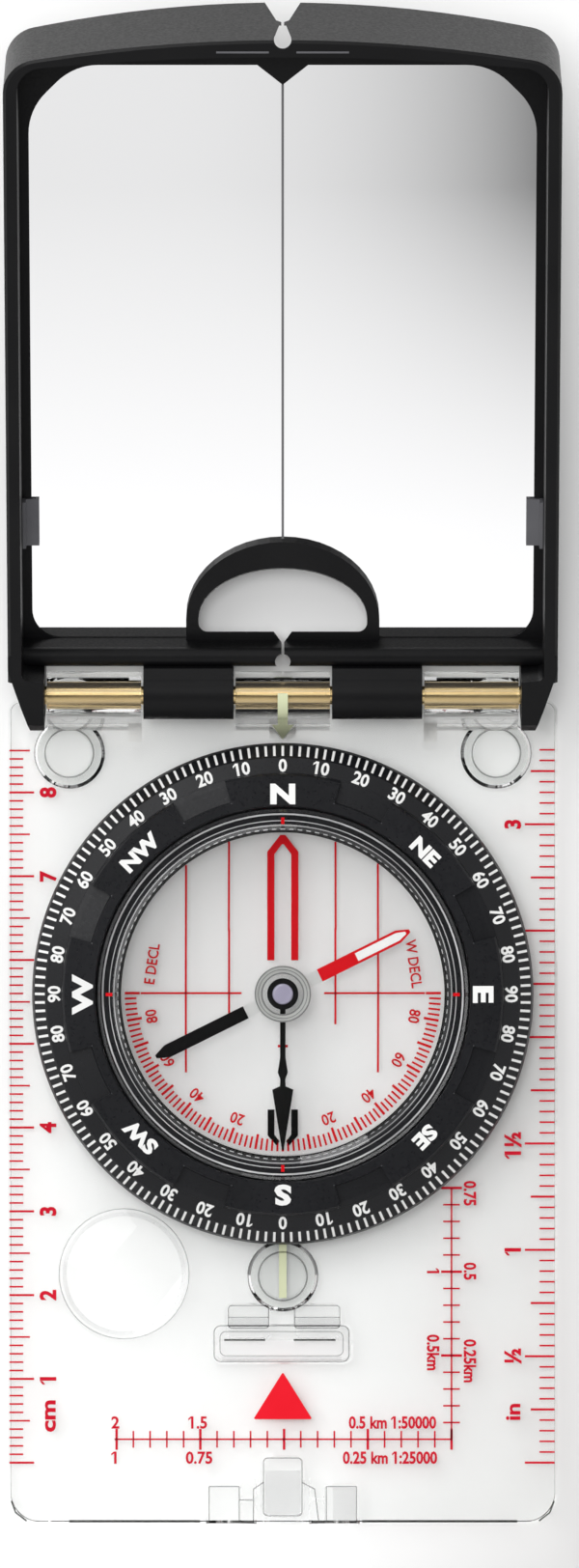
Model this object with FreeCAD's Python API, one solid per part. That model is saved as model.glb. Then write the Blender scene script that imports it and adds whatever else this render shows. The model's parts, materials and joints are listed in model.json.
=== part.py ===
import FreeCAD, Part
import math
import os

os.makedirs("parts", exist_ok=True)
V = FreeCAD.Vector

# Sighting compass, millimetres.  Shapes are drawn about the bezel's axis on the
# table plane, +X right, +Y towards the hinge and lid, +Z up.  save() then moves
# them so that the origin is the middle of the opened compass's footprint.
centre_y = 26.5

# base plate
plate_half = 32.8
plate_front = 35.0
plate_rear = -63.4
plate_bottom = 0.3
plate_top = 3.0
plate_corner = 3.7
plate_hole = 26.3
counterbore = 27.9
counterbore_top = 1.7
foot_head = 4.2
foot_stem = 2.65
foot_height = 0.9

# hinge
hinge_y = 35.5
hinge_z = 9.0
barrel = 2.85
pin_radius = 1.1
pin_grip = 0.02
pin_clearance = 0.05
pin_half = 30.5
tower_spans = [(-28.0, -16.8), (-5.6, 5.6), (16.8, 28.0)]
lug_spans = [(-16.55, -5.85), (5.85, 16.55)]
ramp_foot = 31.3
rib_foot = 30.2

# lid, in its own frame: y away from the hinge axis, z above it when lying open
open_angle = 18.0
lid_half = 32.5
lid_wall = 1.6
rim_h = 5.7
back_h = -9.0
floor_h = -6.8
ledge_h = -4.9
lid_start = 3.3
beam_end = 5.6
mirror_half = 29.8
mirror_near = 5.7
mirror_far = 75.7
mirror_top = -5.15
window_half = 10.05
window_near = 6.7
window_far = 14.6
arch_half = 11.5
arch_far = 17.8
arch_h = -3.95

# bezel
bezel_radius = 29.85
bezel_bottom = 3.3
skirt_top = 7.4
step_radius = 26.3
bezel_top = 11.3
capsule_bore = 23.05
lip_radius = 22.25
sleeve_radius = 26.0
grip_count = 8
flute_count = 90
scallop_count = 72

# capsule
cavity = 19.2
cup_radius = 19.9
ring_inner = 19.95
ring_outer = 21.6
ring_top = 8.9
cup_bottom = 1.7
floor_top = 2.7
cup_top = 9.4
cover_top = 11.6
flange_radius = 22.75
gear_module = 0.5
gear_teeth = 84
pinion_teeth = 8
centre_distance = 23.0
gear_low = 2.6
gear_high = 4.6
plug_y = 18.0

# movement
needle_bearing = 63.6
needle_reach = 16.9
blade_low = 6.7
blade_high = 7.0


def save(shape, name):
    placed = shape.copy()
    placed.translate(V(0, -centre_y, 0))
    placed.exportStep("parts/" + name + ".step")


def box(x0, x1, y0, y1, z0, z1):
    return Part.makeBox(x1 - x0, y1 - y0, z1 - z0, V(x0, y0, z0))


def disc(r, z0, z1, x=0.0, y=0.0):
    return Part.makeCylinder(r, z1 - z0, V(x, y, z0), V(0, 0, 1))


def rod_x(r, x0, x1, y, z):
    return Part.makeCylinder(r, x1 - x0, V(x0, y, z), V(1, 0, 0))


def tube(r0, r1, z0, z1):
    return disc(r1, z0, z1).cut(disc(r0, z0 - 1, z1 + 1))


def wire(points, z):
    """Closed wire through (x, y, corner radius) points."""
    count = len(points)
    corners = []
    for i in range(count):
        p = V(points[i][0], points[i][1], z)
        before = V(points[i - 1][0], points[i - 1][1], z)
        after = V(points[(i + 1) % count][0], points[(i + 1) % count][1], z)
        radius = points[i][2]
        if radius == 0:
            corners.append((p, None, p))
            continue
        a = before.sub(p).normalize()
        b = after.sub(p).normalize()
        half = a.getAngle(b) / 2
        reach = radius / math.tan(half)
        middle = a.add(b).normalize()
        depth = radius / math.sin(half) - radius
        start = p.add(V(a).multiply(reach))
        end = p.add(V(b).multiply(reach))
        corners.append((start, p.add(middle.multiply(depth)), end))
    edges = []
    for i in range(count):
        start, middle, end = corners[i]
        if middle is not None:
            edges.append(Part.Arc(start, middle, end).toShape())
        following = corners[(i + 1) % count][0]
        edges.append(Part.makeLine(end, following))
    return Part.Wire(edges)


def prism(points, z0, z1):
    return Part.Face(wire(points, z0)).extrude(V(0, 0, z1 - z0))


def panel(x0, x1, y0, y1, z0, z1, radius):
    points = [(x0, y0, radius), (x1, y0, radius), (x1, y1, radius), (x0, y1, radius)]
    return prism(points, z0, z1)


def side_prism(points, x0, x1):
    """Extrude a (y, z) outline along x."""
    corners = [V(x0, p[0], p[1]) for p in points]
    corners.append(corners[0])
    return Part.Face(Part.makePolygon(corners)).extrude(V(x1 - x0, 0, 0))


def spun(points, start=0.0, angle=360.0):
    """Revolve an (r, z) outline about the bezel axis."""
    corners = [V(p[0], 0, p[1]) for p in points]
    corners.append(corners[0])
    solid = Part.Face(Part.makePolygon(corners)).revolve(V(0, 0, 0), V(0, 0, 1), angle)
    solid.rotate(V(0, 0, 0), V(0, 0, 1), start)
    return solid


def toothed(teeth, tip, root, at_tip, at_pitch, at_root, z0, z1, x=0.0, y=0.0, turn=0.0):
    """Spur gear from straight-sided teeth, half widths given at three radii."""
    pitch = gear_module * teeth / 2
    corners = []
    for i in range(teeth):
        middle = math.radians(turn + 360.0 * i / teeth)
        sides = [(root, -at_root), (pitch, -at_pitch), (tip, -at_tip)]
        sides += [(tip, at_tip), (pitch, at_pitch), (root, at_root)]
        for radius, offset in sides:
            angle = middle + offset / radius
            corners.append(V(x + radius * math.cos(angle), y + radius * math.sin(angle), z0))
    corners.append(corners[0])
    return Part.Face(Part.makePolygon(corners)).extrude(V(0, 0, z1 - z0))


def place_lid(shape):
    """Move from the lid's own frame to its opened position."""
    shape.rotate(V(0, 0, 0), V(1, 0, 0), open_angle)
    shape.translate(V(0, hinge_y, hinge_z))
    return shape


def tower(x0, x1, inset=0.0, toe=ramp_foot):
    """Clear hinge tower with its sloping front; toe is where the slope meets the plate."""
    r = barrel - inset
    outline = [(toe + inset, plate_top - 0.2), (hinge_y - barrel + 0.05 + inset, 9.3)]
    outline += [(hinge_y + barrel - 0.15 - inset, 8.2), (plate_front, plate_top - 0.2)]
    body = side_prism(outline, x0, x1)
    return body.fuse(rod_x(r, x0, x1, hinge_y, hinge_z))


def front_index():
    arrow = [(-0.6, 35.7, 0), (-0.6, 32.0, 0), (-1.3, 32.0, 0), (0, 30.3, 0)]
    arrow += [(1.3, 32.0, 0), (0.6, 32.0, 0), (0.6, 35.7, 0)]
    plan = prism(arrow, plate_top, 14)
    skin = tower(-3, 3, 0, rib_foot).cut(tower(-4, 4, 0.35, rib_foot))
    keep = box(-3, 3, 30, 36, plate_top, 14).cut(box(-3, 3, 34, 36, plate_top, hinge_z))
    return plan.common(skin).common(keep)


def lens():
    height = 1.2
    radius = 7.8
    sphere = (radius * radius + height * height) / (2 * height)
    ball = Part.makeSphere(sphere, V(-18.95, -33.5, plate_top + height - sphere))
    ball.translate(V(0, 0, 0.2))
    return ball.common(disc(radius, plate_top - 0.1, plate_top + height + 1, -18.95, -33.5))


def baseplate(front_lume):
    outline = [(-plate_half, plate_rear, plate_corner), (plate_half, plate_rear, plate_corner)]
    outline += [(plate_half, plate_front, 1.5), (-plate_half, plate_front, 1.5)]
    body = prism(outline, plate_bottom, plate_top)
    rim = [e for e in body.Edges if e.BoundBox.ZLength < 0.01]
    body = body.makeChamfer(0.3, rim)
    body = body.cut(disc(plate_hole, 0, 4))
    body = body.cut(disc(counterbore, 0, counterbore_top))
    body = body.cut(tube(26.9, 28.4, 2.4, 3.5))
    for x0, x1 in tower_spans:
        body = body.fuse(tower(x0, x1))
    body = body.fuse(tower(-1.6, 1.6, 0, rib_foot))
    for side in (-1, 1):
        rib = side_prism([(28.7, 2.8), (32.6, 7.4), (34.0, 2.8)], 16.8, 18.4)
        if side < 0:
            rib = rib.mirror(V(0, 0, 0), V(1, 0, 0))
        body = body.fuse(rib)
    body = body.fuse(lens())
    for x in (-25.5, 25.5):
        body = body.cut(foot_seat(x, 28.65, plate_top + 1))
    body = body.cut(foot_seat(0, -33.8, 2.4))
    body = body.cut(box(-0.45, 0.45, -36.4, -20.0, 2.6, 4))
    body = body.cut(front_lume)
    # lanyard latch: a rounded slot with a stepped, webbed recess above it
    body = body.cut(panel(-8.1, 8.1, -43.9, -41.5, 0, 4, 1.15))
    body = body.cut(dish(-8.1, 8.1, -44.0, -39.8, 2.0, 0.8))
    for x0, x1 in ((-6.7, -1.6), (1.6, 6.7)):
        body = body.cut(dish(x0, x1, -41.2, -37.3, 1.2, 0.6))
    # cord entry in the rear edge
    body = body.cut(dish(-2.35, 2.35, -62.3, -55.4, 1.2, 1.2))
    for x0, x1 in ((-8.9, -5.1), (5.1, 8.9)):
        body = body.cut(dish(x0, x1, -66, -58.7, 1.4, 0.9))
    for x0, x1 in ((-5.0, -3.4), (3.4, 5.0)):
        body = body.cut(dish(x0, x1, -60.2, -58.1, 1.8, 0.4))
        body = body.cut(dish(x0, x1, -66, -60.9, 1.8, 0.4))
    body = body.cut(rod_x(pin_radius - pin_grip, -40, 40, hinge_y, hinge_z))
    return body.removeSplitter()


def dish(x0, x1, y0, y1, floor, radius):
    """Cutter open at the plate's top, with leaning sides and rounded corners."""
    lean = 0.3
    rise = plate_top + 0.05 - floor
    low = wire([(x0, y0, radius), (x1, y0, radius), (x1, y1, radius), (x0, y1, radius)], floor)
    grown = radius + lean
    high = [(x0 - lean, y0 - lean, grown), (x1 + lean, y0 - lean, grown)]
    high += [(x1 + lean, y1 + lean, grown), (x0 - lean, y1 + lean, grown)]
    return Part.makeLoft([low, wire(high, floor + rise)], True, True)


def foot_seat(x, y, top):
    """Stepped hole for a foot; the step and the mouth are bevelled."""
    gap = 0.05
    bevel = 0.4
    wide = foot_head + gap
    head = disc(wide, 0, foot_height + gap, x, y)
    taper = Part.makeCone(wide, wide - bevel, bevel, V(x, y, foot_height + gap), V(0, 0, 1))
    stem = disc(foot_stem + gap, 0, top, x, y)
    if top > plate_top:
        mouth = foot_stem + gap + bevel
        flare = Part.makeCone(foot_stem + gap, mouth, bevel, V(x, y, plate_top - bevel), V(0, 0, 1))
        stem = stem.fuse(flare)
    return head.fuse(taper).fuse(stem)


def foot(x, y, stem_top):
    head = disc(foot_head, 0, foot_height, x, y)
    rim = [e for e in head.Edges if e.BoundBox.ZMax < 0.01]
    head = head.makeFillet(0.25, rim)
    stem = disc(foot_stem, foot_height - 0.1, stem_top, x, y)
    stem = stem.cut(disc(1.5, stem_top - 0.5, stem_top + 1, x, y))
    return head.fuse(stem).removeSplitter()


def lid_outline(half, near, corner_far, radius, h, bend=143):
    """Lid plan with a bowed far end; bend is the radius of that bow."""
    slope = 28 / bend
    centre_far = corner_far + slope * half
    points = [(-half, near, 0), (half, near, 0), (half, corner_far, radius)]
    points += [(0, centre_far, bend), (-half, corner_far, radius)]
    return wire(points, h)


def lid_body():
    """Walls, floor and far end, before the hinge parts are added."""
    sections = [lid_outline(lid_half - 0.35, lid_start, 78.06, 3.9, rim_h, 176)]
    sections.append(lid_outline(lid_half, lid_start, 78.3, 4.1, rim_h - 0.4, 176))
    sections.append(lid_outline(lid_half, lid_start, 78.93, 4.1, back_h + 1.3))
    sections.append(lid_outline(lid_half - 0.4, lid_start, 78.53, 3.9, back_h + 0.4))
    sections.append(lid_outline(lid_half - 1.3, lid_start, 77.6, 3.4, back_h))
    body = Part.makeLoft(sections, True, True)
    low = lid_outline(lid_half - lid_wall, beam_end, 77.72, 3.0, ledge_h, 300)
    high = lid_outline(lid_half - lid_wall, beam_end, 77.72, 3.0, rim_h + 2, 300)
    body = body.cut(Part.makeLoft([low, high], True, True))
    return body


def mirror_outline(gap, z0, z1):
    half = mirror_half + gap
    near = mirror_near - gap
    far = mirror_far + gap
    points = [(-half, near, 3.4), (half, near, 3.4)]
    points += [(half, far - 5.4, 7.0), (half - 5.4, far, 7.0)]
    points += [(3.0 - gap, far, 0), (0, far - 2.4, 0), (gap - 3.0, far, 0)]
    points += [(5.4 - half, far, 7.0), (-half, far - 5.4, 7.0)]
    plate = prism(points, z0, z1)
    return plate.cut(arch_outline(arch_half - gap, arch_far - gap, z0 - 1, z1 + 1))


def arch_outline(half, far, z0, z1):
    """D shape: straight near edge, half ellipse on the far side."""
    flat = window_near + 1.4
    points = [(-half, mirror_near - 1.5, 0), (half, mirror_near - 1.5, 0)]
    points += [(half, flat, 0)]
    steps = 24
    for i in range(1, steps):
        a = math.pi * i / steps
        points.append((half * math.cos(a), flat + (far - flat) * math.sin(a), 0))
    points.append((-half, flat, 0))
    return prism(points, z0, z1)


def upright(shape, y, lean):
    """Lean a cutter about the x axis at the lid's own height there."""
    shape.rotate(V(0, y, 30), V(1, 0, 0), lean)
    return shape


def near_sight():
    """D window, notch and keyhole, cut straight up while the lid lies open."""
    low = hinge_y + window_near * math.cos(math.radians(open_angle)) + 1.22
    far = hinge_y + window_far * math.cos(math.radians(open_angle)) + 1.22
    flat = low + 1.6
    points = [(-window_half, low, 1.1), (window_half, low, 1.1), (window_half, flat, 0)]
    steps = 24
    for i in range(1, steps):
        a = math.pi * i / steps
        points.append((window_half * math.cos(a), flat + (far - flat) * math.sin(a), 0))
    points.append((-window_half, flat, 0))
    cutter = prism(points, -5, 30)
    notch = [(-1.15, low + 0.1, 0), (-0.16, low - 1.25, 0), (-0.16, low - 3.0, 0)]
    notch += [(0.16, low - 3.0, 0), (0.16, low - 1.25, 0), (1.15, low + 0.1, 0)]
    cutter = cutter.fuse(prism(notch, -5, 30))
    return cutter.fuse(disc(0.92, -5, 30, 0, low - 3.6))


def cheek(side):
    """End wall beside the outer hinge tower."""
    outline = [(0, rim_h), (-2.1, 5.2), (-3.0, 4.4), (-3.0, -3.0), (1.5, back_h + 1.0)]
    outline += [(2.4, back_h), (6.5, back_h), (6.5, rim_h)]
    plate = side_prism(outline, 28.25, lid_half)
    plan = [(28.0, -4, 0), (29.6, -4, 0), (lid_half, 4.7, 0), (lid_half, 7, 0)]
    plan += [(30.9, 7, 0), (30.9, 3.6, 0.8), (28.0, 3.3, 0)]
    plate = plate.common(prism(plan, -12, 8))
    if side < 0:
        plate = plate.mirror(V(0, 0, 0), V(1, 0, 0))
    return plate


def lug(x0, x1):
    barrel_body = rod_x(barrel, x0, x1, 0, 0)
    web = [(0, -barrel), (3.5, -6.0), (3.5, 0.6), (1.2, 2.55), (0, barrel - 0.1)]
    return barrel_body.fuse(side_prism(web, x0, x1))


def beam():
    """Cross member behind the hinge, with a rounded ridge."""
    block = box(-31.2, 31.2, lid_start, beam_end, back_h + 0.2, -1.2)
    ridge = rod_x((beam_end - lid_start) / 2, -31.2, 31.2, (lid_start + beam_end) / 2, -1.2)
    return block.fuse(ridge)


def lid_frame():
    body = lid_body()
    # the hinge end is open above the cross member
    body = body.cut(box(-30.9, 30.9, 0, beam_end + 0.5, -3.0, 8))
    body = body.fuse(beam())
    for x0, x1 in lug_spans:
        body = body.fuse(lug(x0, x1))
    for side in (-1, 1):
        body = body.fuse(cheek(side))
    body = body.cut(mirror_outline(0.05, floor_h, 2))
    arch = arch_outline(arch_half, arch_far, back_h + 0.5, arch_h)
    body = body.fuse(arch)
    for side in (-1, 1):
        slot = box(29.4, 30.9, 17.1, 23.0, floor_h, ledge_h + 1)
        if side < 0:
            slot = slot.mirror(V(0, 0, 0), V(1, 0, 0))
        body = body.cut(slot)
    body = body.cut(rod_x(pin_radius + pin_clearance, -30.7, 30.7, 0, 0))
    # towers of the base pass here
    for x0, x1 in tower_spans:
        body = body.cut(rod_x(barrel + 0.25, x0 - 0.25, x1 + 0.25, 0, 0))
    body = place_lid(body)
    return body.cut(near_sight()).cut(far_sight()).removeSplitter()


def far_sight():
    """Notch and teardrop keyhole at the far end, cut nearly upright."""
    notch = [(-2.5, 118.5, 0), (-2.35, 116.6, 0), (-0.75, 114.1, 0), (-0.16, 113.9, 0)]
    notch += [(-0.16, 113.2, 0), (0.16, 113.2, 0), (0.16, 113.9, 0), (0.75, 114.1, 0)]
    notch += [(2.35, 116.6, 0), (2.5, 118.5, 0)]
    cutter = prism(notch, 10, 60)
    drop = [(-0.92, 112.25, 0), (0.92, 112.25, 0), (0.42, 113.5, 0), (-0.42, 113.5, 0)]
    cutter = cutter.fuse(disc(1.02, 10, 60, 0, 111.85)).fuse(prism(drop, 10, 60))
    return upright(cutter, 113.0, 4.1)


def mirror():
    glass = mirror_outline(0.0, floor_h + 0.05, mirror_top)
    for side in (-1, 1):
        slot = box(29.35, 31, 17.1, 23.0, -8, -4)
        if side < 0:
            slot = slot.mirror(V(0, 0, 0), V(1, 0, 0))
        glass = glass.cut(slot)
    return place_lid(glass.removeSplitter())


def mirror_clip(side):
    foot_part = box(29.45, 30.85, 17.2, 22.9, floor_h + 0.05, mirror_top + 0.02)
    tongue = box(28.9, 30.85, 17.2, 22.9, mirror_top + 0.02, mirror_top + 0.62)
    spring = box(30.45, 30.85, 17.2, 22.9, mirror_top + 0.6, -3.2)
    clip = foot_part.fuse(tongue).fuse(spring).removeSplitter()
    if side < 0:
        clip = clip.mirror(V(0, 0, 0), V(1, 0, 0))
    return place_lid(clip)


def row_of_flutes(count, ring, radius, z0, z1):
    """Round cutters standing side by side on a circle."""
    cutters = []
    for i in range(count):
        a = 2 * math.pi * (i + 0.5) / count
        cutters.append(disc(radius, z0, z1, ring * math.cos(a), ring * math.sin(a)))
    return Part.makeCompound(cutters)


def bezel_ring():
    profile = [(sleeve_radius, 1.45), (sleeve_radius, bezel_bottom)]
    profile += [(bezel_radius - 0.2, bezel_bottom), (bezel_radius, bezel_bottom + 0.2)]
    profile += [(bezel_radius, skirt_top - 0.6), (bezel_radius - 0.25, skirt_top)]
    profile += [(bezel_radius - 1.75, 8.9), (step_radius, 9.7), (step_radius - 0.1, bezel_top - 0.25)]
    profile += [(25.95, bezel_top), (lip_radius + 0.15, bezel_top)]
    profile += [(lip_radius, bezel_top - 0.15), (lip_radius, 10.5)]
    profile += [(capsule_bore, 10.5), (capsule_bore, 1.45)]
    body = spun(profile)
    grips = []
    for i in range(grip_count):
        middle = 22.5 + i * 360.0 / grip_count
        outline = [(23.3, bezel_top + 1), (23.6, 10.5), (25.6, 10.2), (26.6, 10.0)]
        outline += [(26.6, bezel_top + 1)]
        grips.append(spun(outline, middle - 7.3, 14.6))
    body = body.cut(Part.makeCompound(grips))
    body = body.cut(row_of_flutes(flute_count, bezel_radius + 0.17, 0.42, bezel_bottom - 1, skirt_top - 0.7))
    # pocket and upper bearing of the adjusting pinion
    body = body.cut(disc(2.8, 1, 5.0, 0, -centre_distance))
    body = body.cut(disc(0.85, 4.5, 6.6, 0, -centre_distance))
    return body.removeSplitter()


def bezel_retainer():
    ring = tube(20.0, 27.6, 0.55, 1.4)
    edges = [e for e in ring.Edges if abs(e.BoundBox.XMax - 27.6) < 0.01 and e.BoundBox.ZMax < 0.6]
    ring = ring.makeChamfer(0.25, edges)
    return ring.cut(disc(1.65, 0, 3, 0, -centre_distance))


def declination_screw():
    gear = toothed(pinion_teeth, 2.38, 1.3, 0.14, 0.31, 0.4, 2.4, 4.7, 0, -centre_distance, 22.5)
    head = disc(1.6, 0.75, 1.7, 0, -centre_distance)
    collar = disc(1.3, 1.7, 2.4, 0, -centre_distance)
    journal = disc(0.8, 4.7, 6.4, 0, -centre_distance)
    slot = box(-2, 2, -centre_distance - 0.25, -centre_distance + 0.25, 0, 1.2)
    return gear.fuse(head).fuse(collar).fuse(journal).cut(slot).removeSplitter()


def capsule_cup():
    body = disc(cup_radius, cup_bottom, cup_top).cut(disc(cavity, floor_top, cup_top + 1))
    body = body.cut(tube(19.4, 19.7, 8.9, cup_top + 1))
    body = body.cut(disc(1.5, floor_top - 0.4, floor_top + 1))
    body = body.cut(disc(1.0, cup_bottom - 1, floor_top + 1, 0.0, plug_y))
    return body.removeSplitter()


def capsule_gear_ring():
    """Black ring round the cup: gear teeth below, a serrated collar above."""
    teeth = toothed(gear_teeth, 21.38, 20.4, 0.17, 0.34, 0.52, gear_low, gear_high)
    profile = [(ring_inner, gear_low), (20.5, gear_low), (20.5, 5.1)]
    profile += [(ring_outer, 5.1), (ring_outer, ring_top), (ring_inner, ring_top)]
    body = teeth.fuse(spun(profile)).cut(disc(ring_inner, 0, 12))
    scallops = row_of_flutes(scallop_count, ring_outer + 0.15, 0.32, 7.6, ring_top + 1)
    return body.cut(scallops).removeSplitter()


def filler_plug():
    return disc(1.0, cup_bottom + 0.1, floor_top - 0.05, 0.0, plug_y)


def capsule_seal():
    return tube(19.4, 19.7, 8.9, cup_top)


def capsule_cover():
    profile = [(0, cup_top), (flange_radius, cup_top), (flange_radius, 10.2), (22.0, 10.2)]
    profile += [(22.0, cover_top - 0.35), (21.65, cover_top), (20.2, cover_top)]
    profile += [(19.3, 11.05), (10.0, 11.25), (0, 11.3)]
    return spun(profile)


def pivot_pin():
    base = disc(1.45, floor_top - 0.4, floor_top + 0.5)
    post = disc(0.5, floor_top + 0.4, 7.0)
    tip = Part.makeCone(0.5, 0.05, 0.75, V(0, 0, 7.0), V(0, 0, 1))
    return base.fuse(post).fuse(tip).removeSplitter()


def needle_blade():
    half = 0.78
    bar = [(-half, 15.3, 0), (0, needle_reach, 0), (half, 15.3, 0)]
    bar += [(half, -15.3, 0), (0, -needle_reach, 0), (-half, -15.3, 0)]
    blade = prism(bar, blade_low, blade_high).fuse(disc(3.35, blade_low, blade_high))
    blade = blade.cut(disc(1.85, 0, 12)).removeSplitter()
    blade.rotate(V(0, 0, 0), V(0, 0, 1), -needle_bearing)
    return blade


def magnet_ring():
    ring = tube(2.4, 3.35, blade_high, 8.1)
    edges = [e for e in ring.Edges if e.BoundBox.ZMin > 8.05]
    return ring.makeChamfer(0.15, edges)


def needle_hub():
    body = disc(1.85, 6.3, 8.3).cut(disc(1.24, 7.2, 9))
    return body.cut(disc(0.75, 5, 8))


def jewel_bearing():
    body = disc(1.24, 7.2, 8.5)
    edges = [e for e in body.Edges if e.BoundBox.ZMin > 8.4]
    body = body.makeFillet(0.3, edges)
    cup = Part.makeCone(0.75, 0.12, 0.72, V(0, 0, 7.15), V(0, 0, 1))
    return body.cut(cup)


def clinometer_pointer():
    head = [(-0.32, 0, 0), (-0.32, -7.6, 0), (-0.6, -9.4, 0), (-0.3, -10.2, 0)]
    head += [(-0.34, -11.0, 0), (-1.25, -11.4, 0), (-0.1, -18.6, 0), (0.1, -18.6, 0)]
    head += [(1.25, -11.4, 0), (0.34, -11.0, 0), (0.3, -10.2, 0), (0.6, -9.4, 0)]
    head += [(0.32, -7.6, 0), (0.32, 0, 0)]
    arm = prism(head, 4.2, 4.6)
    ring = disc(1.7, 4.0, 4.8)
    return arm.fuse(ring).cut(disc(0.56, 3, 6)).removeSplitter()


front_lume = front_index()
save(baseplate(front_lume), "baseplate")
save(front_lume, "front_index_lume")
save(box(-0.45, 0.45, -36.4, -28.4, 2.6, plate_top), "rear_index_lume")
save(rod_x(pin_radius, -pin_half, pin_half, hinge_y, hinge_z), "hinge_pin")
save(foot(-25.5, 28.65, plate_top), "foot_left")
save(foot(25.5, 28.65, plate_top), "foot_right")
save(foot(0, -33.8, 2.35), "foot_rear")
save(tube(26.9, 28.4, 2.4, plate_top).cut(box(-0.45, 0.45, -40, 0, 2, 4)), "bezel_glide_ring")
save(lid_frame(), "lid_frame")
save(mirror(), "mirror")
save(mirror_clip(-1), "mirror_clip_left")
save(mirror_clip(1), "mirror_clip_right")
save(bezel_ring(), "bezel_ring")
save(bezel_retainer(), "bezel_retainer")
save(declination_screw(), "declination_screw")
save(capsule_cup(), "capsule_cup")
save(capsule_gear_ring(), "capsule_gear_ring")
save(capsule_cover(), "capsule_cover")
save(capsule_seal(), "capsule_seal")
save(filler_plug(), "filler_plug")
save(pivot_pin(), "pivot_pin")
save(needle_blade(), "needle_blade")
save(magnet_ring(), "magnet_ring")
save(needle_hub(), "needle_hub")
save(jewel_bearing(), "jewel_bearing")
save(clinometer_pointer(), "clinometer_pointer")
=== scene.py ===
"""Sighting compass: looks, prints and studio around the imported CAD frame."""
import json
import math

import bpy
from mathutils import Matrix, Vector


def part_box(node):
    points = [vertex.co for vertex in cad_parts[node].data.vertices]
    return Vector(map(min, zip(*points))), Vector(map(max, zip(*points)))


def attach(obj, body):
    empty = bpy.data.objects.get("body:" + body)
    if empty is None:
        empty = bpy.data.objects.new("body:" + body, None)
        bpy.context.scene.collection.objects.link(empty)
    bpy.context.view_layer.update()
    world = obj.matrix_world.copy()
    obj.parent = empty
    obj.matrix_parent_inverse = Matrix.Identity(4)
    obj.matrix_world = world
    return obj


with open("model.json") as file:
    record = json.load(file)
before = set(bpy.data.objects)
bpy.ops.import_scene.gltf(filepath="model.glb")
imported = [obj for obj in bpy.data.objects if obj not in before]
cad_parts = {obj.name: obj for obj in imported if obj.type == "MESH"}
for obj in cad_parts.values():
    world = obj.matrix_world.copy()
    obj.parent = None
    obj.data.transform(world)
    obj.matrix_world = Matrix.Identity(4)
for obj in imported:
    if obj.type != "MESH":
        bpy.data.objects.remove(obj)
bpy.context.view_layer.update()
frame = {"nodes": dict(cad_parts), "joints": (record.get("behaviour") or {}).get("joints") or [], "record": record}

NODES = frame["nodes"]
MM = 0.001

# Places read from the frame, in millimetres
JOINTS = {joint["name"]: Vector(joint["pos_m"]) / MM for joint in frame["joints"]}
HINGE = JOINTS["lid_hinge"]
AXIS = JOINTS["bezel_turn"]
BLADE_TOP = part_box("needle_blade")[1].z / MM
MAGNET_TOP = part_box("magnet_ring")[1].z / MM

# The CAD part's own dimensions that the prints need, in millimetres about the bezel axis
PLATE_TOP = 3.0
LID_OPEN = math.radians(18)
MIRROR_H = -5.15
DIAL_TOP = 2.7
COVER_TOP = 11.6
GEAR_RING_TOP = 8.9
RIM_RIB_H = 5.7
NEEDLE_BEARING = math.radians(63.6)
BEZEL_TOP = 11.3
BEZEL_PROFILE = [(25.95, BEZEL_TOP), (26.3, 9.7), (28.1, 8.9), (29.6, 7.4), (29.85, 6.8)]
LENS_AT = (-18.95, -33.5)
FEET_AT = [(-25.5, 28.65), (25.5, 28.65), (0, -33.8)]

# A mark stands INK above its surface and reaches SINK below it
INK = 0.02
SINK = 0.012
CAP_SHARE = 0.729    # height of a capital as a share of the font's size

RED = (0.58, 0.004, 0.009, 1)
CRIMSON = (0.56, 0.006, 0.022, 1)
SCARLET = (0.80, 0.010, 0.022, 1)
WHITE = (0.88, 0.88, 0.87, 1)


# ---------------------------------------------------------------- materials

def shader(name):
    mat = bpy.data.materials.new(name)
    mat.use_nodes = True
    tree = mat.node_tree
    return mat, tree, tree.nodes["Principled BSDF"]


def place_noise(tree, scale, detail=3.0, stretch=(1, 1, 1)):
    """Noise in the part's own coordinates; scale is in cycles per metre."""
    coordinates = tree.nodes.new("ShaderNodeTexCoord")
    mapping = tree.nodes.new("ShaderNodeMapping")
    mapping.inputs["Scale"].default_value = stretch
    noise = tree.nodes.new("ShaderNodeTexNoise")
    noise.inputs["Scale"].default_value = scale
    noise.inputs["Detail"].default_value = detail
    tree.links.new(coordinates.outputs["Object"], mapping.inputs["Vector"])
    tree.links.new(mapping.outputs["Vector"], noise.inputs["Vector"])
    return noise.outputs["Fac"]


def ranged(tree, source, low, high, start=0.3, end=0.7):
    spread = tree.nodes.new("ShaderNodeMapRange")
    spread.inputs["From Min"].default_value = start
    spread.inputs["From Max"].default_value = end
    spread.inputs["To Min"].default_value = low
    spread.inputs["To Max"].default_value = high
    tree.links.new(source, spread.inputs["Value"])
    return spread.outputs["Result"]


def blended(tree, factor, first, second):
    mix = tree.nodes.new("ShaderNodeMix")
    mix.data_type = "RGBA"
    for socket, value in ((mix.inputs["A"], first), (mix.inputs["B"], second)):
        if isinstance(value, tuple):
            socket.default_value = value
        else:
            tree.links.new(value, socket)
    tree.links.new(factor, mix.inputs["Factor"])
    return mix.outputs["Result"]


def bump(tree, bsdf, height, strength, depth):
    node = tree.nodes.new("ShaderNodeBump")
    node.inputs["Strength"].default_value = strength
    node.inputs["Distance"].default_value = depth
    tree.links.new(height, node.inputs["Height"])
    tree.links.new(node.outputs["Normal"], bsdf.inputs["Normal"])


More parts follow.
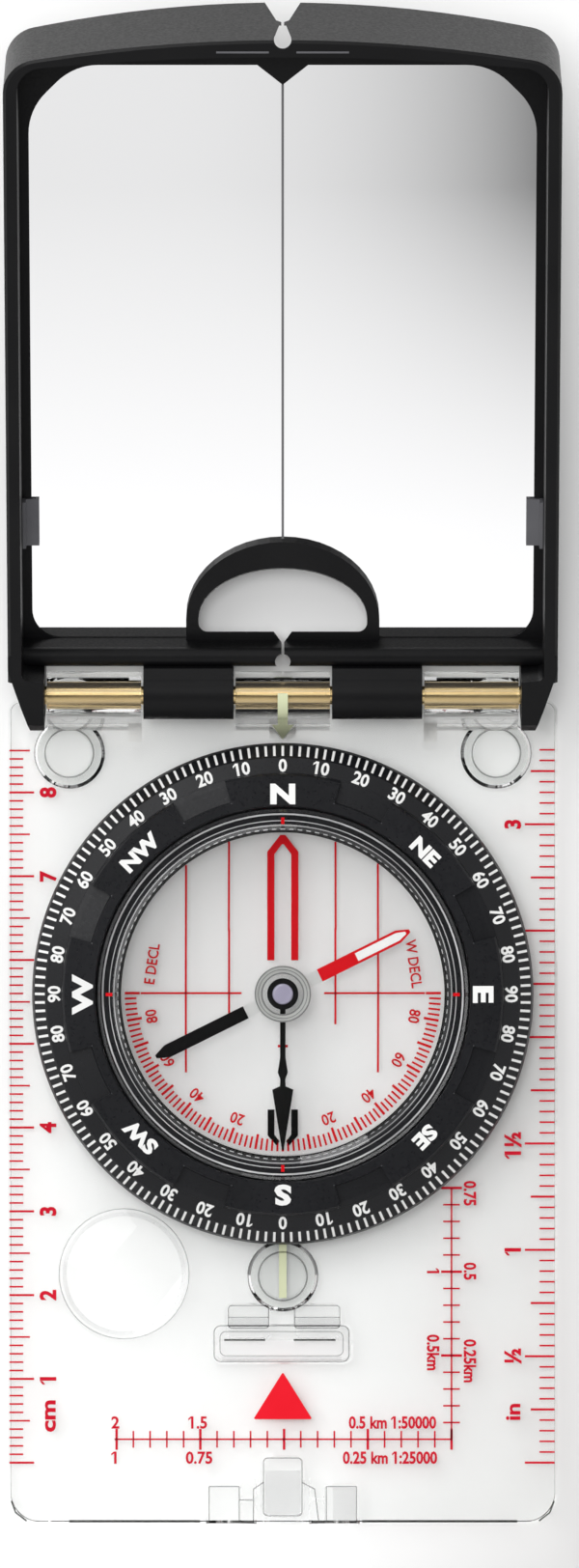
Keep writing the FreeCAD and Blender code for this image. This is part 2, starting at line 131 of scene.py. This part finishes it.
def opaque(name, colour, other, rough=(0.4, 0.5), grain=900, strength=0.15, depth=0.00005,
           metallic=0.0, stretch=(1, 1, 1), ior=1.5, coat=0.0, gloss=0.5):
    """Moulded, painted or metal surface with mottled colour, uneven gloss and a fine grain."""
    mat, tree, bsdf = shader(name)
    broad = place_noise(tree, 130, 4)
    fine = place_noise(tree, grain, 3, stretch)
    tree.links.new(blended(tree, ranged(tree, broad, 0, 1), colour, other), bsdf.inputs["Base Color"])
    tree.links.new(ranged(tree, fine, rough[0], rough[1]), bsdf.inputs["Roughness"])
    bump(tree, bsdf, fine, strength, depth)
    bsdf.inputs["Metallic"].default_value = metallic
    bsdf.inputs["IOR"].default_value = ior
    bsdf.inputs["Coat Weight"].default_value = coat
    bsdf.inputs["Specular IOR Level"].default_value = gloss
    bsdf.inputs["Coat Roughness"].default_value = 0.08
    return mat


def clear(name, tint, rough=0.0, ior=1.49, ripple=0.02):
    """Clear plastic that bends what is behind it and lets lamps through."""
    mat, tree, bsdf = shader(name)
    bsdf.inputs["Base Color"].default_value = tint
    bsdf.inputs["Transmission Weight"].default_value = 1.0
    bsdf.inputs["Roughness"].default_value = rough
    bsdf.inputs["IOR"].default_value = ior
    bump(tree, bsdf, place_noise(tree, 70, 2), ripple, 0.0002)
    transparent = tree.nodes.new("ShaderNodeBsdfTransparent")
    transparent.inputs["Color"].default_value = tint
    path = tree.nodes.new("ShaderNodeLightPath")
    mix = tree.nodes.new("ShaderNodeMixShader")
    tree.links.new(path.outputs["Is Shadow Ray"], mix.inputs["Fac"])
    tree.links.new(bsdf.outputs["BSDF"], mix.inputs[1])
    tree.links.new(transparent.outputs["BSDF"], mix.inputs[2])
    tree.links.new(mix.outputs["Shader"], tree.nodes["Material Output"].inputs["Surface"])
    return mat


def printed(name, colour, other, rough=(0.35, 0.5), gloss=0.1):
    """Printed ink: dull, with a very fine grain."""
    return opaque(name, colour, other, rough, 3000, 0.1, 0.00002, gloss=gloss)


def mirror_finish():
    """Silvered plastic with the faintest ripple."""
    mat, tree, bsdf = shader("mirror")
    bsdf.inputs["Metallic"].default_value = 1.0
    broad = place_noise(tree, 25, 2)
    bright = (0.97, 0.97, 0.975, 1)
    tree.links.new(blended(tree, broad, bright, (0.95, 0.95, 0.957, 1)), bsdf.inputs["Base Color"])
    tree.links.new(ranged(tree, place_noise(tree, 400), 0.01, 0.03), bsdf.inputs["Roughness"])
    bump(tree, bsdf, place_noise(tree, 60, 1), 0.01, 0.0001)
    return mat


def make_materials():
    return {
        "clear_acrylic": clear("clear_acrylic", (0.990, 0.994, 0.991, 1)),
        "clear_capsule": clear("clear_capsule", (0.999, 1.0, 0.999, 1)),
        # Tinted clear slabs for the painted shade along the base plate's edges
        "edge_shade": clear("edge_shade", (0.50, 0.50, 0.505, 1), 0.1),
        "edge_faint_shade": clear("edge_faint_shade", (0.94, 0.94, 0.942, 1), 0.1),
        "edge_dark": clear("edge_dark", (0.16, 0.165, 0.16, 1), 0.1),
        "silicone": clear("silicone", (0.97, 0.975, 0.97, 1), 0.06, 1.41, 0.05),
        "mirror": mirror_finish(),
        "needle_paint": clear("needle_paint", (0.97, 0.975, 0.97, 1)),
        "black_plastic": opaque("black_plastic", (0.004, 0.004, 0.0045, 1), (0.006, 0.006, 0.0065, 1),
                                (0.34, 0.46), 2600, 0.25, 0.00006, gloss=0.2),
        "bezel_black": opaque("bezel_black", (0.0065, 0.0068, 0.0082, 1), (0.009, 0.0093, 0.0112, 1),
                              (0.26, 0.38), 2600, 0.15, 0.00005, gloss=0.35),
        "grey_clip": opaque("grey_clip", (0.09, 0.09, 0.10, 1), (0.12, 0.12, 0.13, 1), (0.3, 0.42)),
        "brass": opaque("brass", (0.86, 0.66, 0.34, 1), (0.80, 0.59, 0.29, 1), (0.16, 0.26), 500,
                        0.12, 0.00003, 1.0, (0.3, 12, 12)),
        "screw_dark": opaque("screw_dark", (0.03, 0.03, 0.032, 1), (0.04, 0.04, 0.042, 1),
                             (0.3, 0.45), 900, 0.1, 0.00003),
        "lume": opaque("lume", (0.62, 0.66, 0.42, 1), (0.70, 0.73, 0.50, 1), (0.45, 0.6), 1800),
        "white_nylon": opaque("white_nylon", (0.8, 0.8, 0.78, 1), (0.86, 0.86, 0.84, 1)),
        "seal_rubber": opaque("seal_rubber", (0.02, 0.02, 0.02, 1), (0.03, 0.03, 0.03, 1), (0.6, 0.75)),
        "steel": opaque("steel", (0.44, 0.45, 0.43, 1), (0.60, 0.61, 0.59, 1), (0.3, 0.45), 1500,
                        0.08, 0.00002, 0.55),
        "jewel": opaque("jewel", (0.30, 0.28, 0.38, 1), (0.38, 0.36, 0.46, 1), (0.05, 0.1), 600,
                        0.02, 0.00001, 0.0, (1, 1, 1), 1.77, 0.4),
        "pointer_black": opaque("pointer_black", (0.005, 0.005, 0.005, 1), (0.008, 0.008, 0.008, 1),
                                (0.35, 0.5), gloss=0.08),
        "red_ink": printed("red_ink", RED, (0.64, 0.006, 0.012, 1)),
        "crimson_ink": printed("crimson_ink", CRIMSON, (0.62, 0.009, 0.028, 1)),
        "scarlet_ink": printed("scarlet_ink", SCARLET, (0.86, 0.014, 0.03, 1)),
        "white_ink": printed("white_ink", WHITE, (0.80, 0.80, 0.79, 1), (0.45, 0.6), 0.5),
        "black_ink": printed("black_ink", (0.004, 0.004, 0.004, 1), (0.007, 0.007, 0.007, 1),
                             (0.4, 0.55), 0.06),
        # Pale grey for the painted highlight on the bezel's finger-pocket edges
        "painted_highlight_black": opaque("painted_highlight_black", (0.07, 0.072, 0.078, 1), (0.11, 0.112, 0.12, 1), (0.3, 0.4)),
        # Pale grey for the painted highlights on the capsule's gear ring
        "ring_glint": opaque("ring_glint", (0.74, 0.74, 0.75, 1), (0.34, 0.34, 0.35, 1), (0.25, 0.4)),
        "grey_ink": opaque("grey_ink", (0.13, 0.13, 0.135, 1), (0.16, 0.16, 0.165, 1)),
    }


MATERIALS = make_materials()


def dress_nodes():
    """Each CAD node takes the material of its slot in the record."""
    for part in frame["record"]["subparts"]:
        node = NODES[part["node"]]
        node.data.materials.clear()
        node.data.materials.append(MATERIALS[part["material_slot"]])


# ---------------------------------------------------------------- flat marks

class Marks:
    """Printed marks drawn flat in millimetres, then laid on a surface as thin closed slabs."""

    def __init__(self):
        self.points = []
        self.faces = []

    def polygon(self, corners):
        first = len(self.points)
        self.points += [(p[0], p[1]) for p in corners]
        self.faces.append(list(range(first, first + len(corners))))

    def bar(self, start, end, width):
        a = Vector(start[:2])
        b = Vector(end[:2])
        side = (b - a).normalized().orthogonal() * (width / 2)
        self.polygon([a + side, a - side, b - side, b + side])

    def spoke(self, bearing, inner, outer, width):
        """A radial bar; bearing is in degrees clockwise from +Y."""
        a = math.radians(bearing)
        way = Vector((math.sin(a), math.cos(a)))
        self.bar(way * inner, way * outer, width)

    def text(self, words, height, at, turn=0.0, weight=0.0, stretch=1.0):
        """Words centred at a point; turn is in degrees anticlockwise. Each 1 gets a flag at its top."""
        curve = bpy.data.curves.new("words", "FONT")
        curve.body = words
        curve.size = height / CAP_SHARE
        curve.offset = weight
        curve.resolution_u = 3
        holder = bpy.data.objects.new("words", curve)
        bpy.context.scene.collection.objects.link(holder)
        bpy.context.view_layer.update()
        graph = bpy.context.evaluated_depsgraph_get()
        mesh = bpy.data.meshes.new_from_object(holder.evaluated_get(graph))
        width = [v.co.x for v in mesh.vertices]
        middle = (min(width) + max(width)) / 2
        turned = Matrix.Rotation(math.radians(turn), 2)
        known = {}
        for face in mesh.polygons:
            corners = []
            for index in face.vertices:
                v = mesh.vertices[index].co
                key = (round(v.x, 4), round(v.y, 4))
                if key not in known:
                    known[key] = len(self.points)
                    flat = turned @ Vector(((v.x - middle) * stretch, v.y - height / 2))
                    self.points.append((flat.x + at[0], flat.y + at[1]))
                corners.append(known[key])
            if len(set(corners)) > 2:
                self.faces.append(corners)
        for index, letter in enumerate(words):
            if letter == "1":
                curve.body = words[:index + 1]
                bpy.context.view_layer.update()
                graph = bpy.context.evaluated_depsgraph_get()
                edge = max(c[0] for c in holder.evaluated_get(graph).bound_box)
                left = edge - 0.12 * height - 2 * weight
                flag = [(left + 0.04, height), (left - 0.22 * height, 0.8 * height),
                        (left - 0.22 * height, 0.64 * height), (left + 0.04, 0.82 * height)]
                flat = [turned @ Vector(((x - middle) * stretch, y - height / 2)) for x, y in flag]
                self.polygon([(p.x + at[0], p.y + at[1]) for p in flat])
        bpy.data.objects.remove(holder)
        bpy.data.curves.remove(curve)
        bpy.data.meshes.remove(mesh)

    def around(self, words, bearing, radius, height, weight=0.0, stretch=1.0):
        """Words with their tops outwards on a circle."""
        a = math.radians(bearing)
        at = (radius * math.sin(a), radius * math.cos(a))
        self.text(words, height, at, -bearing, weight, stretch)

    def lay(self, name, surface, body, material, placed=None, ink=INK, sink=SINK):
        """Slabs on the surface, a function from (x, y) to height, about the bezel axis unless placed."""
        count = len(self.points)
        low = [Vector((x, y, surface(x, y) - sink)) for x, y in self.points]
        high = [Vector((x, y, surface(x, y) + ink)) for x, y in self.points]
        faces = []
        used = {}
        for face in self.faces:
            ring = [Vector(self.points[i]) for i in face]
            area = sum(a.cross(b) for a, b in zip(ring, ring[1:] + ring[:1]))
            if abs(area) < 1e-9:
                continue
            turn = face if area > 0 else face[::-1]
            faces.append([i + count for i in turn])
            faces.append(turn[::-1])
            for a, b in zip(turn, turn[1:] + turn[:1]):
                used[(a, b)] = used.get((a, b), 0) + 1
        for a, b in used:
            if (b, a) not in used:
                faces.append([a, b, b + count, a + count])
        mesh = bpy.data.meshes.new(name)
        matrix = placed or Matrix.Translation(AXIS)
        corners = [(matrix @ p) * MM for p in low + high]
        mesh.from_pydata([tuple(p) for p in corners], [], faces)
        mesh.validate()
        mesh.materials.append(MATERIALS[material])
        piece = bpy.data.objects.new(name, mesh)
        bpy.context.scene.collection.objects.link(piece)
        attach(piece, body)
        return piece


def rounded(x0, y0, x1, y1, radius):
    """Corners of a box with rounded corners, anticlockwise."""
    made = []
    for x, y, start in ((x1 - radius, y0 + radius, -90), (x1 - radius, y1 - radius, 0),
                        (x0 + radius, y1 - radius, 90), (x0 + radius, y0 + radius, 180)):
        for step in range(7):
            a = math.radians(start + 15 * step)
            made.append((x + radius * math.cos(a), y + radius * math.sin(a)))
    return made


def path(marks, points, width, closed=False):
    """Bars from point to point."""
    for a, b in zip(points, points[1:] + (points[:1] if closed else [])):
        if math.hypot(a[0] - b[0], a[1] - b[1]) > 0.01:
            marks.bar(a, b, width)


def circle(x, y, radius, steps=48):
    turn = 2 * math.pi / steps
    return [(x + radius * math.cos(i * turn), y + radius * math.sin(i * turn)) for i in range(steps)]


def level(height):
    """A flat surface for lay."""
    return lambda x, y: height


def bezel_surface(x, y):
    """Height of the bezel's sloping dial for lay."""
    radius = math.hypot(x, y)
    if radius <= BEZEL_PROFILE[0][0]:
        return BEZEL_TOP
    for (r0, z0), (r1, z1) in zip(BEZEL_PROFILE, BEZEL_PROFILE[1:]):
        if radius <= r1:
            return z0 + (z1 - z0) * (radius - r0) / (r1 - r0)
    return BEZEL_PROFILE[-1][1]


# ---------------------------------------------------------------- base plate prints

RULER_ZERO = -56.05
INCH = 25.4


def centimetre_ruler():
    marks = Marks()
    edge = -32.65
    for k in range(86):
        y = RULER_ZERO + k
        inner = -29.7 if k % 10 == 0 else -30.2 if k % 5 == 0 else -31.0
        marks.bar((edge, y), (inner, y), 0.26 if k % 10 == 0 else 0.21)
    for k in range(1, 9):
        marks.text(str(k), 1.9, (-28.1, RULER_ZERO + 10 * k), 90, 0.1, 0.95)
    marks.text("cm", 1.8, (-28.1, -50.5), 90, 0.08, 1.3)
    marks.lay("ruler_centimetres", level(PLATE_TOP), "base", "crimson_ink")


def inch_ruler():
    marks = Marks()
    edge = 32.45
    for k in range(68):
        y = RULER_ZERO + k * INCH / 20
        inner = 28.9 if k % 10 == 0 else 29.6 if k % 5 == 0 else 30.65
        marks.bar((edge, y), (inner, y), 0.26 if k % 5 == 0 else 0.21)
    labels = {10: "½", 20: "1", 30: "1½", 40: "2", 50: "2½", 60: "3"}
    for k, words in labels.items():
        marks.text(words, 1.9, (27.4, RULER_ZERO + k * INCH / 20), 90, 0.1, 0.95)
    marks.text("in", 1.8, (27.4, -50.0), 90, 0.07, 1.2)
    marks.lay("ruler_inches", level(PLATE_TOP), "base", "crimson_ink")


def scale_tick(k):
    """Half length and width of a map scale's tick; every fifth is longer and bolder."""
    return (1.25, 0.3) if k % 5 == 0 else (1.0, 0.2)


def map_scales():
    marks = Marks()
    corner_x = 20.15
    row_y = -53.26
    marks.bar((-20.1, row_y), (corner_x + 0.1, row_y), 0.2)
    marks.bar((corner_x, row_y - 0.08), (corner_x, row_y + 30), 0.2)
    for k in range(21):
        reach, width = scale_tick(k)
        x = corner_x - 2 * k
        marks.bar((x, row_y - reach), (x, row_y + reach), width)
    for k in range(1, 16):
        reach, width = scale_tick(k)
        y = row_y + 2 * k
        marks.bar((corner_x - reach, y), (corner_x + reach, y), width)
    above = row_y + 2.05
    below = row_y - 2.15
    size = 1.45
    for words, x, y, weight, stretch in (
            ("2", -20.0, above, 0.05, 1.0), ("1.5", -10.0, above, 0.05, 0.95),
            ("0.5 km 1:50000", 13.1, above, 0.06, 0.84), ("1", -20.0, below, 0.05, 1.0),
            ("0.75", -10.0, below, 0.05, 0.95), ("0.25 km 1:25000", 12.8, below, 0.06, 0.84)):
        marks.text(words, size, (x, y), 0, weight, stretch)
    for words, x, y in (("0.75", 22.4, -23.9), ("0.5", 22.4, -33.2), ("0.25km", 22.4, -43.9),
                        ("1", 18.0, -33.3), ("0.5km", 18.0, -42.9)):
        marks.text(words, size, (x, y), -90, 0.06, 0.88)
    marks.lay("map_scales", level(PLATE_TOP), "base", "crimson_ink")


def plate_triangle():
    marks = Marks()
    marks.polygon([(-3.45, -50.75), (-3.3, -50.87), (3.3, -50.87), (3.45, -50.75), (0.12, -45.42),
                   (0, -45.35), (-0.12, -45.42)])
    marks.lay("direction_triangle", level(PLATE_TOP), "base", "scarlet_ink")


def moulded_edges():
    """Painted shade along the edges of the clear moulding, drawn on its top because clear edges hardly show."""
    lens_radius = 7.75
    stem_line = 2.9
    head_line = 4.15
    near = -63.2
    # Thin painted shade outlining the lens, feet, latch and rear notches
    soft = Marks()
    path(soft, circle(*LENS_AT, lens_radius), 0.12, True)
    for x, y in FEET_AT:
        path(soft, circle(x, y, stem_line), 0.2, True)
        path(soft, circle(x, y, head_line), 0.14, True)
    path(soft, rounded(-8.2, -44.0, 7.9, -39.7, 0.8), 0.14, True)
    path(soft, rounded(-7.5, -43.3, 7.2, -40.4, 0.7), 0.1, True)
    for x0, x1 in ((-6.5, -1.7), (1.4, 6.8)):
        path(soft, rounded(x0, -40.0, x1, -37.3, 0.4), 0.12, True)
        path(soft, [(x0, -38.7), (x1, -38.7)], 0.1)
    path(soft, rounded(-2.3, -62.4, 2.3, -55.5, 0.5), 0.13, True)
    path(soft, [(-2.3, -58.4), (-3.5, -59.2), (-3.5, near)], 0.13)
    path(soft, [(2.3, -58.4), (3.8, -59.2), (4.3, near)], 0.13)
    for x0, x1 in ((-8.8, -5.2), (5.2, 8.8)):
        path(soft, [(x0, near), (x0, -58.9), (x1, -58.9), (x1, near)], 0.13)
    path(soft, [(-5.2, -60.5), (-3.6, -60.5)], 0.14)
    soft.lay("moulded_edges", level(PLATE_TOP), "base", "edge_shade")
    # Faint painted shade filling the lens ring, latch pockets and rear notch
    faint_shade = Marks()
    path(faint_shade, circle(*LENS_AT, lens_radius - 0.65), 0.5, True)
    for x0, x1 in ((-6.4, -1.8), (1.5, 6.7)):
        faint_shade.polygon([(x0, -39.9), (x1, -39.9), (x1, -38.8), (x0, -38.8)])
    faint_shade.polygon([(-7.3, -43.9), (7.0, -43.9), (7.0, -43.4), (-7.3, -43.4)])
    faint_shade.polygon([(-2.1, -62.3), (2.1, -62.3), (2.1, -57.0), (-2.1, -57.0)])
    faint_shade.polygon([(6.0, -63.1), (8.7, -63.1), (8.7, -59.0), (6.0, -59.0)])
    faint_shade.lay("painted_edge_shade_faint", level(PLATE_TOP), "base", "edge_faint_shade")
    # Dark painted shade below the latch bars and along the rear edge's chamfer
    hard = Marks()
    for x0, x1 in ((-7.0, -2.1), (1.3, 6.3)):
        path(hard, [(x0, -41.4), (x1, -41.4)], 0.22)
    for x0, x1 in ((-25.5, -9.9), (9.5, 28.0)):
        path(hard, [(x0, -63.05), (x1, -63.05)], 0.3)
    for side in (-1, 1):
        path(hard, [(side * 32.4, -60.6), (side * 31.9, -62.0), (side * 30.6, -63.0)], 0.2)
    hard.lay("painted_edge_shade_deep", level(PLATE_TOP), "base", "edge_dark")


# ---------------------------------------------------------------- bezel marks

def bezel_ticks():
    marks = Marks()
    for bearing in range(0, 360, 2):
        marks.spoke(bearing, 28.3, 29.5, 0.3)
    marks.lay("bezel_degree_ticks", bezel_surface, "bezel", "white_ink")


def bezel_numbers():
    marks = Marks()
    for bearing in range(0, 360, 10):
        value = 90 - abs(bearing % 180 - 90)
        marks.around(str(value), bearing, 27.22, 1.5, 0.06, 0.96)
    marks.lay("bezel_degree_numbers", bezel_surface, "bezel", "white_ink")


def bezel_letters():
    marks = Marks()
    for bearing, words in ((0, "N"), (90, "E"), (180, "S"), (270, "W")):
        marks.around(words, bearing, 23.85, 2.3, 0.15, 1.3)
    for bearing, words in ((45, "NE"), (135, "SE"), (225, "SW"), (315, "NW")):
        marks.around(words, bearing, 23.95, 1.78, 0.12, 1.18)
    marks.lay("bezel_compass_letters", bezel_surface, "bezel", "white_ink")


def grip_arrises():
    """Paler edges of the eight finger pockets: a painted highlight."""
    marks = Marks()
    half_angle = 7.5
    for k in range(8):
        middle = 22.5 + 45 * k
        for side in (-half_angle, half_angle):
            marks.spoke(middle + side, 23.4, 26.1, 0.16)
    marks.lay("bezel_grip_painted_highlights", bezel_surface, "bezel", "painted_highlight_black")


# ---------------------------------------------------------------- dial prints

def dial_lines():
    marks = Marks()
    tip = 18.8
    low = 3.9
    outer = [(-1.85, low), (-1.85, 16.8), (-0.3, tip), (0.3, tip), (1.85, 16.8), (1.85, low)]
    inner = [(-1.0, low), (-1.0, 16.5), (-0.1, tip - 1.1), (0.1, tip - 1.1), (1.0, 16.5), (1.0, low)]
    for i in range(5):
        marks.polygon([outer[i], inner[i], inner[i + 1], outer[i + 1]])
    for x, start, end in ((-6.4, -2.5, 18.0), (6.26, -3.7, 18.0), (-11.5, -9.4, 15.2),
                          (11.3, -9.4, 15.4)):
        marks.bar((x, start), (x, end), 0.24)
    for side in (-1, 1):
        marks.bar((side * 4.9, 0), (side * 16.9, 0), 0.24)
    for bearing in range(90, 271, 2):
        strong = bearing % 10 == 0
        marks.spoke(bearing, 17.0 if strong else 17.4, 18.8, 0.3 if strong else 0.24)
    for value in (20, 40, 60, 80):
        for side in (-1, 1):
            marks.around(str(value), 180 + side * value, 15.9, 1.35, 0.035, 0.9)
    marks.text("E DECL", 1.3, (-15.6, 3.5), 82, 0.03, 0.85)
    marks.text("W DECL", 1.3, (15.6, 3.5), -82, 0.03, 0.85)
    marks.bar((-0.6, -6.3), (0.6, -6.3), 0.3)
    marks.lay("dial_red_lines", level(DIAL_TOP), "capsule", "red_ink")


def dial_level_mark():
    """Two brackets that show when the pointer hangs plumb."""
    marks = Marks()
    for side in (-1, 1):
        corners = [(1.0, -13.8), (1.8, -13.8), (1.8, -16.9), (0.75, -18.1), (0.4, -17.6), (1.0, -16.8)]
        marks.polygon([(side * x, y) for x, y in corners])
    marks.lay("dial_level_mark", level(DIAL_TOP), "capsule", "black_ink")


def cardinal_dots():
    marks = Marks()
    for bearing in (0, 90, 180, 270):
        marks.spoke(bearing, 20.2, 21.0, 0.4)
    marks.lay("capsule_cardinal_marks", level(COVER_TOP), "capsule", "red_ink", ink=-0.003)


def hub_grooves():
    """Turned grooves in the magnet ring."""
    marks = Marks()
    for radius, width in ((3.25, 0.1), (2.9, 0.08), (2.5, 0.12)):
        path(marks, circle(0, 0, radius), width, True)
    marks.lay("magnet_ring_grooves", level(MAGNET_TOP), "needle", "grey_ink", ink=0.01)


def capsule_ring_marks():
    """Painted highlights: bright lines and dashes on the gear ring's top, seen through the cover."""
    marks = Marks()
    outer = 21.4
    middle = 20.62
    inner = 20.0
    path(marks, circle(0, 0, outer, 96), 0.2, True)
    path(marks, circle(0, 0, middle, 96), 0.1, True)
    for bearing in range(0, 360, 3):
        marks.spoke(bearing, inner, inner + 0.16, 0.55)
    marks.lay("capsule_ring_painted_highlights", level(GEAR_RING_TOP), "capsule", "ring_glint")


def needle_arms():
    """Painted arms wrapped round the clear blade: red outline with white fill north, black south."""
    turned = Matrix.Translation(AXIS) @ Matrix.Rotation(-NEEDLE_BEARING, 4, "Z")
    top = level(BLADE_TOP)
    half = 0.79
    root = 4.9
    shoulder = 15.3
    tip = 16.82
    proud = 0.012
    depth = 0.31
    north = Marks()
    north.polygon([(-half, root), (half, root), (half, shoulder), (0.2, tip), (-0.2, tip),
                   (-half, shoulder)])
    north.lay("needle_north_arm", top, "needle", "red_ink", turned, proud, depth)
    south = Marks()
    south.polygon([(-half, -root), (-half, -shoulder), (-0.2, -tip), (0.2, -tip), (half, -shoulder),
                   (half, -root)])
    south.lay("needle_south_arm", top, "needle", "black_ink", turned, proud, depth)
    fill = Marks()
    fill.polygon([(-0.5, 9.8), (0.5, 9.8), (0.5, 15.2), (0.15, 16.3), (-0.15, 16.3), (-0.5, 15.2)])
    fill.lay("needle_white_fill", top, "needle", "white_ink", turned, 2 * proud)


# ---------------------------------------------------------------- lid

def lid_matrix():
    return Matrix.Translation(HINGE) @ Matrix.Rotation(LID_OPEN, 4, "X")


def mirror_line():
    """The sighting line down the mirror."""
    marks = Marks()
    near = 17.85
    far = 73.35
    marks.bar((0, near), (0, far), 0.3)
    marks.lay("mirror_sighting_line", level(MIRROR_H), "lid", "grey_ink", lid_matrix())


def rim_rib():
    """A pale line each side of the far notch: a low rib whose pale grey is a painted highlight on the rim's step
    edge.
    """
    marks = Marks()
    y = 79.9
    for side in (-1, 1):
        marks.bar((side * 1.6, y), (side * 7.7, y), 0.22)
    marks.lay("lid_rim_rib_highlight", level(RIM_RIB_H), "lid", "grey_clip", lid_matrix(), 0.08)


# ---------------------------------------------------------------- studio

def square(name, half):
    """A flat square in the scene, centred on its origin."""
    mesh = bpy.data.meshes.new(name)
    corners = [(-half, -half, 0), (half, -half, 0), (half, half, 0), (-half, half, 0)]
    mesh.from_pydata(corners, [], [[0, 1, 2, 3]])
    piece = bpy.data.objects.new(name, mesh)
    bpy.context.scene.collection.objects.link(piece)
    return piece


def pale_floor():
    """Matt floor with painted shade: white at the left, darkening to grey at the right across the part."""
    floor = square("floor", 3.0)
    floor.location.z = -0.00005
    paper, tree, bsdf = shader("paper")
    place = tree.nodes.new("ShaderNodeTexCoord")
    slant = tree.nodes.new("ShaderNodeVectorMath")
    slant.operation = "DOT_PRODUCT"
    slant.inputs[1].default_value = (1.0, -0.2, 0)
    tree.links.new(place.outputs["Object"], slant.inputs[0])
    across = ranged(tree, slant.outputs["Value"], 0, 1, 0.022, 0.062)
    shade = blended(tree, across, (0.95, 0.95, 0.948, 1), (0.66, 0.652, 0.647, 1))
    tree.links.new(shade, bsdf.inputs["Base Color"])
    bsdf.inputs["Roughness"].default_value = 0.9
    bsdf.inputs["Specular IOR Level"].default_value = 0.2
    floor.data.materials.append(paper)


def studio_world():
    """Soft light from all round, with a dark zenith so that black faces stay black from above."""
    world = bpy.data.worlds.new("studio")
    bpy.context.scene.world = world
    world.use_nodes = True
    tree = world.node_tree
    back = tree.nodes["Background"]
    back.inputs["Color"].default_value = (1, 1, 1, 1)
    way = tree.nodes.new("ShaderNodeTexCoord")
    split = tree.nodes.new("ShaderNodeSeparateXYZ")
    tree.links.new(way.outputs["Generated"], split.inputs["Vector"])
    glow = tree.nodes.new("ShaderNodeValToRGB")
    ramp = glow.color_ramp
    bands = [(0.0, 0.26), (0.22, 0.46), (0.45, 0.64), (0.80, 0.64), (0.93, 0.28), (0.985, 0.02)]
    for index, (place, value) in enumerate(bands):
        element = ramp.elements[index] if index < 2 else ramp.elements.new(place)
        element.position = place
        element.color = (value, value, value, 1)
    tree.links.new(split.outputs["Z"], glow.inputs["Fac"])
    tree.links.new(glow.outputs["Color"], back.inputs["Strength"])


def lamp(name, place, size, power):
    """Square area lamp aimed at the origin."""
    data = bpy.data.lights.new(name, "AREA")
    data.size = size
    data.energy = power
    holder = bpy.data.objects.new(name, data)
    bpy.context.scene.collection.objects.link(holder)
    holder.location = place
    holder.rotation_euler = (-Vector(place)).to_track_quat("-Z", "Y").to_euler()
    return holder


def lamps():
    lamp("key", (-0.36, 0.30, 0.85), 0.7, 2.7)
    top = lamp("top", (-0.06, 0.06, 1.5), 0.4, 8.5)
    top.visible_glossy = False
    top.visible_transmission = False
    lamp("rear_strip", (-0.35, 1.0, 0.4), 0.45, 2.6)


def overhead_camera():
    """Long lens looking straight down, a little past the bezel axis towards the lid."""
    height = 1.230
    past_axis = 0.02496
    aside = 0.0008
    camera = bpy.data.cameras.new("camera")
    camera.lens = 236.0
    camera.sensor_width = 36.0
    camera.clip_start = 0.05
    camera.clip_end = 20
    eye = bpy.data.objects.new("camera", camera)
    bpy.context.scene.collection.objects.link(eye)
    eye.location = (aside, AXIS.y * MM + past_axis, height)
    bpy.context.scene.camera = eye


def arithmetic(tree, operation, first, second):
    """A maths node on two values, each a socket or a number."""
    node = tree.nodes.new("ShaderNodeMath")
    node.operation = operation
    for socket, value in zip(node.inputs, (first, second)):
        if isinstance(value, float):
            socket.default_value = value
        else:
            tree.links.new(value, socket)
    return node.outputs[0]


def fading_light():
    """Emission that is bright all over and falls off towards one far corner."""
    mat = bpy.data.materials.new("soft_box")
    mat.use_nodes = True
    tree = mat.node_tree
    tree.nodes.clear()
    coordinates = tree.nodes.new("ShaderNodeTexCoord")
    split = tree.nodes.new("ShaderNodeSeparateXYZ")
    tree.links.new(coordinates.outputs["Object"], split.inputs["Vector"])
    across = ranged(tree, split.outputs["X"], 1, 0, -0.045, 0.045)
    up = ranged(tree, split.outputs["Y"], 0, 1, -0.055, 0.055)
    corner = arithmetic(tree, "POWER", arithmetic(tree, "MULTIPLY", across, up), 3.2)
    along = ranged(tree, up, 1.07, 0.84, 0.45, 1)
    darker = ranged(tree, corner, 0, 0.58, 0, 1)
    glow = tree.nodes.new("ShaderNodeEmission")
    tree.links.new(arithmetic(tree, "SUBTRACT", along, darker), glow.inputs["Strength"])
    output = tree.nodes.new("ShaderNodeOutputMaterial")
    tree.links.new(glow.outputs["Emission"], output.inputs["Surface"])
    return mat


def mirror_card():
    """A soft box seen only in reflections, where the mirror at rest sends a view from above."""
    normal = Vector((0, -math.sin(LID_OPEN), math.cos(LID_OPEN)))
    down = Vector((0, 0, -1))
    way = down - 2 * down.dot(normal) * normal
    middle = lid_matrix() @ Vector((0, 40, MIRROR_H)) * MM
    distance = 0.6
    card = square("soft_box", 0.1)
    card.location = middle + way * distance
    card.rotation_euler = (-way).to_track_quat("Z", "Y").to_euler()
    card.data.materials.append(fading_light())
    card.visible_camera = False
    card.visible_diffuse = False
    card.visible_shadow = False
    card.visible_transmission = False


bpy.context.scene.view_settings.view_transform = "Standard"
dress_nodes()
centimetre_ruler()
inch_ruler()
map_scales()
plate_triangle()
moulded_edges()
bezel_ticks()
bezel_numbers()
bezel_letters()
grip_arrises()
dial_lines()
dial_level_mark()
cardinal_dots()
needle_arms()
hub_grooves()
capsule_ring_marks()
mirror_line()
rim_rib()
pale_floor()
studio_world()
lamps()
overhead_camera()
mirror_card()
